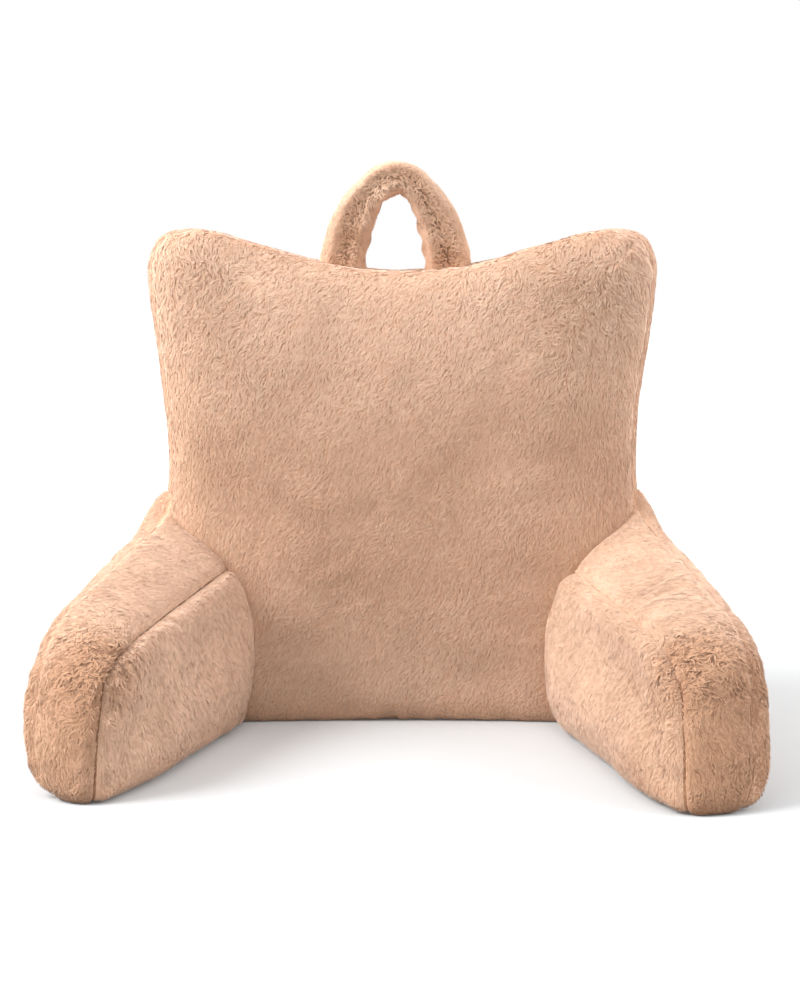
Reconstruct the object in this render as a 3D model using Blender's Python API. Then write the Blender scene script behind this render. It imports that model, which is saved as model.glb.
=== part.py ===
"""A reading pillow with arms, in plush: a filled backrest with a boxing band round its sides and top, two
filled arms with a strip over the top and down the nose of each, and a carry loop.

Metres, +Z up. The seat side faces -Y. The origin lies on the surface that the pillow stands on, under the
middle of its box."""

import math
from collections import namedtuple

import bmesh
import bpy
import numpy as np
from mathutils import Vector

# Backrest
BACK_DEPTH = 0.126  # front seam to rear seam, at the floor
RECLINE_DEG = 3.0  # how far the front panel leans back
FRONT_CROWN = 0.040  # how far the front panel swells past its seam, over the lips
REAR_CROWN = 0.026
FOOT_BOW = 0.014  # how far the foot of the front seam comes forward towards the arms
BACK_MIDDLE_Z = 0.235  # height of the panels' fullest point
BAND_SWELL = 0.004  # how far the boxing swells between its seams, over the lips
BACK_POINTS = 82  # points round a panel's seam
BEND_WEIGHT = 0.07  # length of seam that earns as many points as a bend of one radian

# Seams, cloth and fits
LIP = 0.0065  # how far the plush stands up beside a seam
LIP_WIDTH = 0.0030  # how soon it does so
SHOULDER = 0.0035  # how far a face spreads past its seam
FLOOR_LIFT = 0.003  # height of the seams above the flat base
CLOTH = 0.003  # thickness of the plush strips
GAP = 0.0004  # between pieces
SEAM_SINK = 0.0005  # depth of the seam itself
RECESS = 0.0044  # depth of the bed of a strip, along the way out of the seams

# Arms
STRIP_SWELL = 0.004
ARM_STEPS = 4  # points from one row of an arm's table to the next

# Carry loop
LOOP_X = -0.006  # its middle, a little to the left
LOOP_Y = 0.058  # its plane, from the front seam's foot
LOOP_WIDE = 0.0220  # half its width, seen from the front, at its feet
LOOP_WIDE_TOP = 0.0175
LOOP_DEEP = 0.0190  # half its depth
LOOP_PLEATS = 9  # gathers along the inside of the arch
LOOP_PLEAT_DEPTH = 0.0022
LOOP_STEPS = 5
LOOP_SIDES = 14

# Where the rings of a face lie between its seam and its spine, and the rows of a strip between its seams
FACE_SHARES = (0.010, 0.035, 0.085, 0.17, 0.32, 0.53, 0.78)
STRIP_SHARES = (0.012, 0.05, 0.14, 0.36, 0.64, 0.86, 0.95, 0.988)

PLUSH_TAN = (0.80, 0.56, 0.40)

# The seam of the front panel, from the middle of its foot round the right side to the middle of its top.
EdgePoint = namedtuple("EdgePoint", "x z")
BACK_EDGE = (
    EdgePoint(0.000, 0.006),
    EdgePoint(0.105, 0.0045),
    EdgePoint(0.212, 0.000),
    EdgePoint(0.246, 0.016),
    EdgePoint(0.256, 0.060),
    EdgePoint(0.252, 0.140),
    EdgePoint(0.2385, 0.208),
    EdgePoint(0.2345, 0.255),
    EdgePoint(0.2370, 0.315),
    EdgePoint(0.2460, 0.380),
    EdgePoint(0.253, 0.435),
    EdgePoint(0.2535, 0.468),
    EdgePoint(0.2405, 0.4895),
    EdgePoint(0.208, 0.4955),
    EdgePoint(0.150, 0.481),
    EdgePoint(0.080, 0.462),
    EdgePoint(0.000, 0.4540),
)

# The two seams of an arm, x outwards from the middle of the pillow: from the foot of its root up to the
# backrest, along the top, down the nose and back along the floor. reach is how far before the backrest.
ArmRow = namedtuple("ArmRow", "part in_reach in_x in_z out_reach out_x out_z")
RIGHT_ARM = (
    ArmRow("root", -0.022, 0.158, 0.000, -0.022, 0.236, 0.000),
    ArmRow("root", -0.022, 0.153, 0.062, -0.022, 0.242, 0.080),
    ArmRow("root", -0.022, 0.157, 0.120, -0.022, 0.238, 0.172),
    ArmRow("top", -0.020, 0.165, 0.158, -0.018, 0.230, 0.236),
    ArmRow("top", 0.000, 0.174, 0.155, 0.000, 0.236, 0.227),
    ArmRow("top", 0.045, 0.182, 0.150, 0.030, 0.246, 0.202),
    ArmRow("top", 0.130, 0.198, 0.142, 0.105, 0.267, 0.178),
    ArmRow("top", 0.220, 0.216, 0.132, 0.200, 0.285, 0.154),
    ArmRow("top", 0.310, 0.233, 0.119, 0.285, 0.297, 0.133),
    ArmRow("top", 0.358, 0.239, 0.099, 0.338, 0.298, 0.110),
    ArmRow("top", 0.382, 0.239, 0.065, 0.363, 0.297, 0.072),
    ArmRow("top", 0.393, 0.237, 0.030, 0.379, 0.295, 0.032),
    ArmRow("top", 0.393, 0.235, 0.000, 0.380, 0.291, 0.000),
    ArmRow("base", 0.320, 0.212, 0.000, 0.310, 0.279, 0.000),
    ArmRow("base", 0.200, 0.188, 0.000, 0.195, 0.262, 0.000),
    ArmRow("base", 0.080, 0.165, 0.000, 0.080, 0.246, 0.000),
)
LEFT_ARM = (
    ArmRow("root", -0.022, 0.163, 0.000, -0.022, 0.236, 0.000),
    ArmRow("root", -0.022, 0.157, 0.062, -0.022, 0.242, 0.080),
    ArmRow("root", -0.022, 0.158, 0.120, -0.022, 0.238, 0.172),
    ArmRow("top", -0.020, 0.165, 0.161, -0.018, 0.230, 0.234),
    ArmRow("top", 0.000, 0.174, 0.158, 0.000, 0.236, 0.225),
    ArmRow("top", 0.045, 0.183, 0.153, 0.028, 0.246, 0.201),
    ArmRow("top", 0.130, 0.203, 0.144, 0.110, 0.266, 0.182),
    ArmRow("top", 0.225, 0.227, 0.132, 0.195, 0.286, 0.162),
    ArmRow("top", 0.307, 0.246, 0.120, 0.266, 0.303, 0.144),
    ArmRow("top", 0.348, 0.257, 0.104, 0.311, 0.313, 0.114),
    ArmRow("top", 0.365, 0.261, 0.072, 0.336, 0.317, 0.077),
    ArmRow("top", 0.370, 0.263, 0.032, 0.348, 0.313, 0.032),
    ArmRow("top", 0.366, 0.262, 0.000, 0.345, 0.303, 0.000),
    ArmRow("base", 0.295, 0.231, 0.000, 0.278, 0.290, 0.000),
    ArmRow("base", 0.190, 0.204, 0.000, 0.185, 0.272, 0.000),
    ArmRow("base", 0.080, 0.176, 0.000, 0.080, 0.252, 0.000),
)

# The spine of a side panel of an arm, along which it is fullest, and how far it swells past its seam at the
# near and the far end of it, over the lips.
Panel = namedtuple("Panel", "x near_reach far_reach z near_crown far_crown")
RIGHT_INNER = Panel(0.190, 0.045, 0.300, 0.068, 0.014, 0.012)
RIGHT_OUTER = Panel(0.270, 0.055, 0.290, 0.076, 0.022, 0.017)
LEFT_INNER = Panel(0.200, 0.045, 0.285, 0.068, 0.014, 0.012)
LEFT_OUTER = Panel(0.275, 0.055, 0.265, 0.076, 0.028, 0.013)

# The middle line of the carry loop, from its foot to its crown.
LOOP_LINE = (
    EdgePoint(0.0590, 0.442),
    EdgePoint(0.0548, 0.474),
    EdgePoint(0.0450, 0.506),
    EdgePoint(0.0368, 0.524),
    EdgePoint(0.0260, 0.5390),
    EdgePoint(0.0132, 0.5495),
    EdgePoint(0.0000, 0.5530),
)


def seam_y(z):
    """The front seam's place in depth at a height."""
    return z * math.tan(math.radians(RECLINE_DEG))


def rear_y(z):
    """The rear seam's place in depth at a height: it leans less, so that the backrest thins upwards."""
    return BACK_DEPTH + 0.25 * seam_y(z)


def curve_through(knots, steps, closed):
    """Points of a smooth curve through the knots, steps to each span."""
    count = len(knots)
    spans = count if closed else count - 1
    found = []
    for span in range(spans):
        numbers = [span + k for k in (-1, 0, 1, 2)]
        near = [knots[n % count] if closed else knots[min(max(n, 0), count - 1)] for n in numbers]
        found += [catmull_rom(near, step / steps) for step in range(steps)]
    if not closed:
        found.append(knots[-1].copy())
    return found


def catmull_rom(near, share):
    """A point between the middle two of four knots, with centripetal spacing, which doesn't overshoot."""
    before, start, end, after = near
    legs = ((before, start), (start, end), (end, after))
    s0, s1, s2 = (max((b - a).length, 1e-6) ** 0.5 for a, b in legs)
    slope_start = ((start - before) / s0 - (end - before) / (s0 + s1)) * s1 + (end - start)
    slope_end = ((after - end) / s2 - (after - start) / (s1 + s2)) * s1 + (end - start)
    square, cube = share**2, share**3
    return (
        start * (2 * cube - 3 * square + 1)
        + slope_start * (cube - 2 * square + share)
        + end * (3 * square - 2 * cube)
        + slope_end * (cube - square)
    )


def spaced(points, count):
    """count points round a closed line, starting at its first point, closer together where it bends."""
    total = len(points)
    along = [0.0]
    for k in range(total):
        before, here, after = points[k - 1], points[k], points[(k + 1) % total]
        bend = (here - before).angle(after - here)
        along.append(along[-1] + (after - here).length + BEND_WEIGHT * bend)
    ring = points + [points[0]]
    found, k = [], 0
    for n in range(count):
        want = along[-1] * n / count
        while along[k + 1] < want:
            k += 1
        found.append(ring[k].lerp(ring[k + 1], (want - along[k]) / (along[k + 1] - along[k])))
    return found


def outward(ring):
    """The way out of a closed line in the XZ plane at each point, if it runs anticlockwise from -Y."""
    count = len(ring)
    found = []
    for k in range(count):
        run = ring[(k + 1) % count] - ring[k - 1]
        found.append(Vector((run.z, 0, -run.x)).normalized())
    return found


def lip(distance):
    """How far the cloth stands up at a distance from a seam."""
    return LIP * (1 - math.exp(-distance / LIP_WIDTH))


def dome(fullness):
    """The rise of a stuffed face for its fullness, from 0 at its seam to 1 in its middle."""
    return np.sqrt((1 - np.exp(-3 * fullness)) / (1 - math.exp(-3)))


def swell(share):
    """The rise of a boxing strip between its two seams."""
    return 1 - (2 * share - 1) ** 2


def face_rings(edge, out, spine, push, crowns, grow=0.0):
    """Rings of a stuffed face, from beside its seam inwards to its spine. push is the way that it swells, and
    crowns how far at either end of the spine."""
    near, far = spine
    _, full = stretched([near.lerp(far, 0.5)], edge, push)
    rings = []
    for share in FACE_SHARES:
        spots = [near.lerp(far, share_along(near, far, p)).lerp(p, 1 - share) for p in edge]
        levels, fullness = stretched(spots, edge, push)
        rises = dome(fullness / full)
        ring = []
        for p, o, spot, level, rise in zip(edge, out, spots, levels, rises):
            lips = lip((p - spot).length)
            along = share_along(near, far, spot)
            crown = crowns[0] + (crowns[1] - crowns[0]) * along * along * (3 - 2 * along)
            shoulder = o * SHOULDER * (lips / LIP) * (1 - share) ** 2
            ring.append(spot + shoulder + push * (level + lips + crown * rise + grow))
        rings.append(ring)
    return rings


def stretched(spots, edge, push):
    """For spots of a face: how far along push the cloth would lie, stretched flat between its edges, and a
    smooth measure of the way to the edges."""
    ends = [*edge, edge[0]]
    samples = [a.lerp(b, t) for a, b in zip(ends, ends[1:]) for t in (0.0, 0.25, 0.5, 0.75)]
    weights = np.array([(b - a).length for a, b in zip(ends, ends[1:]) for _ in range(4)])
    way = np.array(samples)[None, :, :] - np.array(spots)[:, None, :]
    off = way @ np.array(push)
    pull = weights / np.maximum((way**2).sum(axis=2) - off**2, 1e-9) ** 2
    return (pull * off).sum(axis=1) / pull.sum(axis=1), pull.sum(axis=1) ** (-1 / 3)


def share_along(near, far, point):
    """How far along a line from near to far its nearest spot to a point lies, from 0 to 1."""
    way = far - near
    if way.length < 1e-6:
        return 0.0
    return min(max((point - near).dot(way) / way.length_squared, 0.0), 1.0)


def above(point, floor):
    """The point, or the one over it at the floor's height if it is lower than that."""
    return Vector((point.x, point.y, max(point.z, floor)))


def strip_point(front, rear, out, share, rise, sink):
    """A point on a strip between two seams. rise is its swell, and sink how far under the cloth it lies."""
    across = rear - front
    lips = lip(min(share, 1 - share) * across.length)
    return front + across * share + out * (lips + rise * swell(share) - sink)


def loft(name, rings, collection, thin=False):
    """A closed solid through rings of equally many points. A thin section's ends are closed as ladders."""
    mesh = bpy.data.meshes.new(name)
    form = bmesh.new()
    rows = [[form.verts.new(p) for p in ring] for ring in rings]
    count = len(rows[0])
    for row, after in zip(rows, rows[1:]):
        for k in range(count):
            form.faces.new((row[k], row[(k + 1) % count], after[(k + 1) % count], after[k]))
    ends = (rows[0][::-1], rows[-1])
    if thin:
        for row in ends:
            for k in range(count // 2 - 1):
                form.faces.new((row[k], row[k + 1], row[count - 2 - k], row[count - 1 - k]))
    else:
        bmesh.ops.triangulate(form, faces=[form.faces.new(row) for row in ends], ngon_method="BEAUTY")
    if form.calc_volume(signed=True) < 0:
        bmesh.ops.reverse_faces(form, faces=form.faces)
    form.to_mesh(mesh)
    form.free()
    solid = bpy.data.objects.new(name, mesh)
    collection.objects.link(solid)
    return solid


def plush(name, tone):
    """Short-pile plush, tone times as light as the main cloth."""
    material = bpy.data.materials.new(name)
    material.use_nodes = True
    shader = material.node_tree.nodes["Principled BSDF"]
    shader.inputs["Base Color"].default_value = (*(c * tone for c in PLUSH_TAN), 1)
    shader.inputs["Roughness"].default_value = 0.95
    shader.inputs["Metallic"].default_value = 0.0
    shader.inputs["Sheen Weight"].default_value = 0.4
    return material


def finish(solid, tone=1.0):
    solid.data.shade_smooth()
    solid.data.set_sharp_from_angle(angle=math.radians(50))
    solid.data.materials.append(plush(f"plush_{solid.name}", tone))


def cut_by(solid, cutter):
    cut = solid.modifiers.new("clear_of_backrest", "BOOLEAN")
    cut.object = cutter
    cut.operation = "DIFFERENCE"
    cut.solver = "EXACT"


def back_seams():
    """The front and rear seam of the backrest, and the way out of them, as lists of as many points."""
    right = [Vector((p.x, 0, p.z)) for p in BACK_EDGE]
    left = [Vector((-p.x, 0, p.z)) for p in BACK_EDGE[-2:0:-1]]
    outline = spaced(curve_through(right + left, 6, True), BACK_POINTS)
    out = outward(outline)
    front = [Vector((p.x, seam_y(p.z) - foot_bow(p), max(p.z, FLOOR_LIFT))) for p in outline]
    rear = [Vector((p.x, rear_y(p.z), max(p.z, FLOOR_LIFT))) for p in outline]
    return front, rear, out


def foot_bow(point):
    """How far the front seam comes forward near its foot."""
    return FOOT_BOW * (point.x / BACK_EDGE[4].x) ** 2 * max(0.0, 1 - point.z / 0.16)


def banded(front, out):
    """The numbers of the seam's points that the boxing band runs along: all but those of the base."""
    return [k for k in range(len(front)) if out[k].z > -0.35]


def backrest_faces(front, rear, out, grow=0.0):
    """Rings of the front panel from its middle outwards, and of the rear panel from its seam inwards."""
    tilt = math.radians(RECLINE_DEG)
    forward = Vector((0, -math.cos(tilt), math.sin(tilt)))
    front_middle, rear_middle = (Vector((0, y(BACK_MIDDLE_Z), BACK_MIDDLE_Z)) for y in (seam_y, rear_y))
    front_rings = face_rings(front, out, [front_middle] * 2, forward, [FRONT_CROWN] * 2, grow)
    rear_rings = face_rings(rear, out, [rear_middle] * 2, Vector((0, 1, 0)), [REAR_CROWN] * 2, grow)
    return front_rings[::-1], rear_rings


def backrest_rings(front, rear, out, beds):
    """Rings from the middle of the front panel, over the boxing, to the middle of the rear panel. beds says
    how far the boxing is sunk at each point of the seams."""
    front_rings, rear_rings = backrest_faces(front, rear, out)
    boxing = strip_rings(front, rear, out, [BAND_SWELL] * len(front), beds)
    return front_rings + [front] + boxing + [rear] + rear_rings


def clearance_rings(front, rear, out):
    """Rings round the backrest and its band, a gap larger than they are, plain across the seams' grooves and
    down through the floor."""
    front_rings, rear_rings = backrest_faces(front, rear, out, GAP)
    boxing = strip_rings(front, rear, out, [BAND_SWELL] * len(front), [-GAP] * len(front), -0.02)
    return front_rings + boxing[2:-2] + rear_rings


def strip_rings(front, rear, out, swells, beds, floor=0.0):
    """Rings of the surface between two seams, which lies as deep as its bed says at each point."""
    rings = []
    for share in (0.0, *STRIP_SHARES, 1.0):
        least = SEAM_SINK if share in (0.0, 1.0) else -1.0
        ring = []
        for a, b, o, rise, bed in zip(front, rear, out, swells, beds):
            ring.append(above(strip_point(a, b, o, share, rise, max(bed, least)), floor))
        rings.append(ring)
    return rings


def strip_section(front, rear, out, rise):
    """The closed section of a strip of cloth between two seams: its outside, then its inside back again."""
    width = (rear - front).length
    shares = [GAP / width, *STRIP_SHARES, 1 - GAP / width]
    outside = [strip_point(front, rear, out, s, rise, 0.0) for s in shares]
    inside = [strip_point(front, rear, out, s, rise, CLOTH) for s in shares]
    return [above(p, 0.0) for p in outside + inside[::-1]]


def make_backrest(collection, cutters):
    """The filled backrest, its boxing band, and the shape that keeps other pieces clear of both."""
    front, rear, out = back_seams()
    covered = banded(front, out)
    beds = [RECESS if k in covered else 0.0 for k in range(len(front))]
    body = loft("backrest", backrest_rings(front, rear, out, beds), collection)
    finish(body)
    run = [k for k in covered if k - 1 in covered and k + 1 in covered]
    sections = [strip_section(front[k], rear[k], out[k], BAND_SWELL) for k in run]
    band = loft("boxing_band", sections, collection, thin=True)
    finish(band, 0.97)
    return loft("backrest_clearance", clearance_rings(front, rear, out), cutters)


def arm_seams(rows, side):
    """The inner and outer seam of an arm, and the way out of the strip between them."""
    inner = curve_through([Vector((r.in_x, -r.in_reach, r.in_z)) for r in rows], ARM_STEPS, True)
    outer = curve_through([Vector((r.out_x, -r.out_reach, r.out_z)) for r in rows], ARM_STEPS, True)
    for p in inner + outer:
        p.z = max(p.z, FLOOR_LIFT)
        p.y += seam_y(p.z)
    count = len(inner)
    out = []
    for k in range(count):
        after = (k + 1) % count
        run = (inner[after] + outer[after]) - (inner[k - 1] + outer[k - 1])
        out.append(run.cross(outer[k] - inner[k]).normalized())
    flip = Vector((side, 1, 1))
    return tuple([p * flip for p in points] for points in (inner, outer, out))


def make_arm(name, side, rows, inner_panel, outer_panel, collection, clearance):
    """A filled arm and the strip over its top and nose."""
    inner, outer, out = arm_seams(rows, side)
    parts = [rows[k // ARM_STEPS].part for k in range(len(inner))]
    top = [k for k, part in enumerate(parts) if part == "top"][: 1 - ARM_STEPS]
    spines = []
    for panel in (inner_panel, outer_panel):
        reaches = (panel.near_reach, panel.far_reach)
        spines.append([Vector((side * panel.x, seam_y(panel.z) - reach, panel.z)) for reach in reaches])
    splay = (outer[0] - inner[0]).normalized()
    swells = [STRIP_SWELL if part == "top" else 0.0 for part in parts]
    beds = [RECESS if k in top else 0.0 for k in range(len(inner))]
    crowns = [(panel.near_crown, panel.far_crown) for panel in (inner_panel, outer_panel)]
    rings = face_rings(inner, out, spines[0], -splay, crowns[0])[::-1]
    rings += [inner] + strip_rings(inner, outer, out, swells, beds) + [outer]
    rings += face_rings(outer, out, spines[1], splay, crowns[1])
    body = loft(name, rings, collection)
    cut_by(body, clearance)
    finish(body)
    sections = [strip_section(inner[k], outer[k], out[k], STRIP_SWELL) for k in top[1:-1]]
    strip = loft(f"{name}_strip", sections, collection, thin=True)
    cut_by(strip, clearance)
    finish(strip, 0.97)


def make_loop(collection, clearance):
    """The carry loop: a fur tube bent into an arch, gathered along the inside of the bend."""
    half = [Vector((p.x, 0, p.z)) for p in LOOP_LINE]
    knots = half + [Vector((-p.x, 0, p.z)) for p in half[-2::-1]]
    line = curve_through(knots, LOOP_STEPS, False)
    sections = []
    for k, middle in enumerate(line):
        share = k / (len(line) - 1)
        arch = math.sin(math.pi * share)  # 0 at the feet, 1 at the crown
        run = (line[min(k + 1, len(line) - 1)] - line[max(k - 1, 0)]).normalized()
        out = Vector((run.z, 0, -run.x))
        wide = LOOP_WIDE + (LOOP_WIDE_TOP - LOOP_WIDE) * arch**2
        pleat = LOOP_PLEAT_DEPTH * math.cos(2 * math.pi * LOOP_PLEATS * share)
        section = []
        for n in range(LOOP_SIDES):
            turn = 2 * math.pi * n / LOOP_SIDES
            inward = max(0.0, -math.cos(turn))  # the side towards the opening
            reach = wide - pleat * inward * arch
            deep = Vector((0, LOOP_DEEP * math.sin(turn), 0))
            section.append(middle + out * reach * math.cos(turn) + deep)
        sections.append([p + Vector((LOOP_X, LOOP_Y, 0)) for p in section])
    loop = loft("carry_loop", sections, collection)
    cut_by(loop, clearance)
    finish(loop, 0.94)


def stand_on_origin(collection):
    """Hangs the pieces on an empty, which brings the middle of their box over the origin."""
    bpy.context.view_layer.update()
    graph = bpy.context.evaluated_depsgraph_get()
    corners = []
    for solid in collection.objects:
        shown = solid.evaluated_get(graph)
        corners += [shown.matrix_world @ Vector(c) for c in shown.bound_box]
    low = Vector(min(c[axis] for c in corners) for axis in range(3))
    high = Vector(max(c[axis] for c in corners) for axis in range(3))
    centre = (low + high) / 2
    root = bpy.data.objects.new("pillow_origin", None)
    for solid in list(collection.objects):
        solid.parent = root
    collection.objects.link(root)
    root.location = (-centre.x, -centre.y, -low.z)
    print("moved by", [round(c, 5) for c in root.location], "box", [round(c, 4) for c in high - low])
    return root


def main():
    for old in list(bpy.data.objects):
        bpy.data.objects.remove(old)
    pillow = bpy.data.collections.new("reading_pillow")
    cutters = bpy.data.collections.new("cutters")
    for made in (pillow, cutters):
        bpy.context.scene.collection.children.link(made)
    clearance = make_backrest(pillow, cutters)
    make_arm("arm_right", 1, RIGHT_ARM, RIGHT_INNER, RIGHT_OUTER, pillow, clearance)
    make_arm("arm_left", -1, LEFT_ARM, LEFT_INNER, LEFT_OUTER, pillow, clearance)
    make_loop(pillow, clearance)
    root = stand_on_origin(pillow)
    for cutter in cutters.objects:
        cutter.parent = root
        cutter.hide_render = True
        cutter.display_type = "WIRE"


main()
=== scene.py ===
"""Dresses the reading pillow: stuffed plush forms with their seams and creases, and the pile on them lock by lock.

Metres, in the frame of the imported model, with the seat side towards -Y. The forms are worked out from the foot of
the front seam, and SHIFT takes them to the frame's origin. A side is 1 for the arm at +X and -1 for the other."""

import math
from collections import namedtuple

import bmesh
import bpy
import numpy as np
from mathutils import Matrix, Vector
from mathutils.bvhtree import BVHTree
from mathutils.kdtree import KDTree


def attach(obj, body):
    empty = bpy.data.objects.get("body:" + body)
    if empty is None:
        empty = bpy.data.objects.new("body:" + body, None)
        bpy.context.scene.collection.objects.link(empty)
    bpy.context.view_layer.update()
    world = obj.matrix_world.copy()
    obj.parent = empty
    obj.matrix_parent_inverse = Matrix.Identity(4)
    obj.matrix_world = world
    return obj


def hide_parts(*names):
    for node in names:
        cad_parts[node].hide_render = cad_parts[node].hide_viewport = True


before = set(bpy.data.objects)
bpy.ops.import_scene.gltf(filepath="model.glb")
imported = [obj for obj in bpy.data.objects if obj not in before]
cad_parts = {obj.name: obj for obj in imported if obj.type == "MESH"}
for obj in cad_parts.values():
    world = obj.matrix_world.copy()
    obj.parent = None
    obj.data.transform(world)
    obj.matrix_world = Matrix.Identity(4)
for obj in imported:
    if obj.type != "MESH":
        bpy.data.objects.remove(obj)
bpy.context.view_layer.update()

# ------ measures of the pillow, as the part's source has them or close to that
SHIFT = np.array((0.0073, 0.11901, 0.0))
BACK_DEPTH = 0.126
RECLINE = math.radians(3.0)
REAR_RECLINE = 0.25  # share of the front's lean that the rear has
FRONT_CROWNS, REAR_CROWNS = (0.040, 0.040), (0.026, 0.026)
FOOT_BOW = 0.014  # how far the ends of the front's foot come forward
FOOT_BOW_TOP = 0.16
BACK_MIDDLE_Z = 0.235
BAND_SWELL = 0.004
BACK_STEPS, BACK_POINTS = 16, 260
BEND_WEIGHT = 0.07
UNDERSIDE = -0.35  # the band ends where the outline's normal points down by more than this
FLOOR_LIFT = 0.003
CLOTH = 0.003
RECESS = 0.0044
STRIP_SWELL = 0.004
ARM_STEPS = 14

# The cloth: the frame's solids follow the tips of the pile, and the cloth lies under those.
LIP = 0.0053  # how far the cloth stands up beside a seam
LIP_WIDTH = 0.0024
GROOVE = 0.0024  # how deep the stitches pull a seam in
UNHELD = 0.012  # a seam that the pile hides counts as this much further away
SHOWN_SEAM = 0.6  # a seam held more than this shows between the locks, with painted shade in its groove
HIDDEN_NEAR_BACK = 0.016  # an arm's outer seam is lost in the pile this near the back
DRAWN = 0.0026  # how far an arm is drawn in where it is sewn to the back
SEWN = (-0.004, 0.0016)  # an arm's faces this far outside the back lie in that seam
TUCK = 0.013  # radius of an arm's nose over the floor
SHOULDER = 0.0020  # how far a face spreads past its seam
FOOT_SHOULDER = 0.0022  # more of it along the foot
CREST_SHOULDER = 0.0058  # more of it along the dip of the top
CREST_SINK = 0.0048  # how far the band lies lower there
FOOT_SAG = ((0.0120, 0.032), (0.0085, 0.021))  # of the front, forward and down: how far, and about how high up
FILL = 3.0  # how soon a stuffed face is full, away from its seam
LUMPS = ((0.11, 0.0009), (0.045, 0.0004))  # swells of the stuffing: size and height
PUCKER = 0.034  # way from one pucker of a seam to the next
PUCKER_DEPTH = 0.0015
CREASE = (0.0034, 0.009, 0.35)  # width of a crease, width of its rims and their share of its depth
FOLD = (0.0055, 0.009, 0.6)  # the same of a fold, which has one rim
FOLD_RIM = 0.013  # way from the fold to its rim
WAVES = 16  # of which smooth noise is made

FACE_SHARES = (
    0.003, 0.012, 0.026, 0.042, 0.065, 0.095, 0.13, 0.17, 0.22, 0.28, 0.345, 0.42, 0.50, 0.585, 0.675, 0.77, 0.865,
    0.945, 0.985, 0.998,
)
STRIP_SHARES = (
    0.004, 0.024, 0.055, 0.10, 0.16, 0.24, 0.33, 0.43, 0.5, 0.57, 0.67, 0.76, 0.84, 0.90, 0.945, 0.972, 0.990,
)
BAND_BED_SHARES = (0.02, 0.10, 0.3, 0.5, 0.7, 0.9, 0.98)
ARM_BED_SHARES = (0.04, 0.15, 0.4, 0.6, 0.85, 0.96)

# x and z of the back's edge, from the middle of the foot round the side to the middle of the top.
BACK_EDGE = (
    (0.000, 0.006), (0.105, 0.0045), (0.212, 0.000), (0.246, 0.016), (0.256, 0.060), (0.252, 0.140),
    (0.2385, 0.208), (0.2345, 0.255), (0.2370, 0.315), (0.2460, 0.380), (0.253, 0.435), (0.2535, 0.468),
    (0.2405, 0.4895), (0.208, 0.4955), (0.150, 0.481), (0.080, 0.462), (0.000, 0.4540),
)
BACK_HALF_WIDTH = 0.256

# x and z of both ends of a crease in the front, and its depth.
FRONT_CREASES = (
    ((0.231, 0.484), (0.213, 0.466), 0.0016), ((0.231, 0.484), (0.241, 0.428), 0.0018),
    ((0.229, 0.484), (0.198, 0.487), 0.0016), ((0.212, 0.466), (0.198, 0.432), 0.0016),
    ((-0.031, 0.462), (-0.018, 0.436), 0.0014), ((-0.051, 0.466), (-0.060, 0.441), 0.0014),
)

# Rows round an arm: reach, x and z of its inner seam, then of its outer seam. Those of the strip are TOP_ROWS, and
# the root in the back comes before them and the base after them.
TOP_ROWS = range(3, 13)
RIGHT_ROWS = (
    (-0.022, 0.158, 0.000, -0.022, 0.236, 0.000), (-0.022, 0.153, 0.062, -0.022, 0.242, 0.080),
    (-0.022, 0.148, 0.124, -0.022, 0.238, 0.172), (-0.020, 0.152, 0.166, -0.018, 0.230, 0.236),
    (0.000, 0.161, 0.163, 0.000, 0.236, 0.227), (0.045, 0.174, 0.155, 0.030, 0.246, 0.202),
    (0.130, 0.198, 0.142, 0.105, 0.267, 0.178), (0.220, 0.216, 0.132, 0.200, 0.285, 0.154),
    (0.310, 0.233, 0.119, 0.285, 0.297, 0.133), (0.358, 0.239, 0.099, 0.338, 0.298, 0.110),
    (0.382, 0.239, 0.065, 0.363, 0.297, 0.072), (0.393, 0.237, 0.030, 0.379, 0.295, 0.032),
    (0.393, 0.235, 0.000, 0.380, 0.291, 0.000), (0.320, 0.212, 0.000, 0.310, 0.279, 0.000),
    (0.200, 0.188, 0.000, 0.195, 0.262, 0.000), (0.080, 0.165, 0.000, 0.080, 0.246, 0.000),
)
LEFT_ROWS = (
    (-0.022, 0.163, 0.000, -0.022, 0.236, 0.000), (-0.022, 0.157, 0.062, -0.022, 0.242, 0.080),
    (-0.022, 0.152, 0.124, -0.022, 0.238, 0.172), (-0.020, 0.156, 0.168, -0.018, 0.230, 0.234),
    (0.000, 0.165, 0.165, 0.000, 0.236, 0.225), (0.045, 0.178, 0.157, 0.028, 0.246, 0.201),
    (0.130, 0.203, 0.144, 0.110, 0.266, 0.182), (0.225, 0.227, 0.132, 0.195, 0.286, 0.162),
    (0.307, 0.246, 0.120, 0.266, 0.303, 0.144), (0.348, 0.257, 0.104, 0.311, 0.313, 0.114),
    (0.365, 0.261, 0.072, 0.336, 0.317, 0.077), (0.370, 0.263, 0.032, 0.348, 0.313, 0.032),
    (0.366, 0.262, 0.000, 0.345, 0.303, 0.000), (0.295, 0.231, 0.000, 0.278, 0.290, 0.000),
    (0.190, 0.204, 0.000, 0.185, 0.272, 0.000), (0.080, 0.176, 0.000, 0.080, 0.252, 0.000),
)
Panel = namedtuple("Panel", "x near_reach far_reach z near_crown far_crown")

# How light an arm's sides are, how much lighter the inner one is with painted light, how much darker the nose is with
# painted shade; then how light its strip is, and how much painted shade darkens its nose and the low end of that.
Tones = namedtuple("Tones", "sides inner nose strip strip_nose strip_low")

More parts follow.
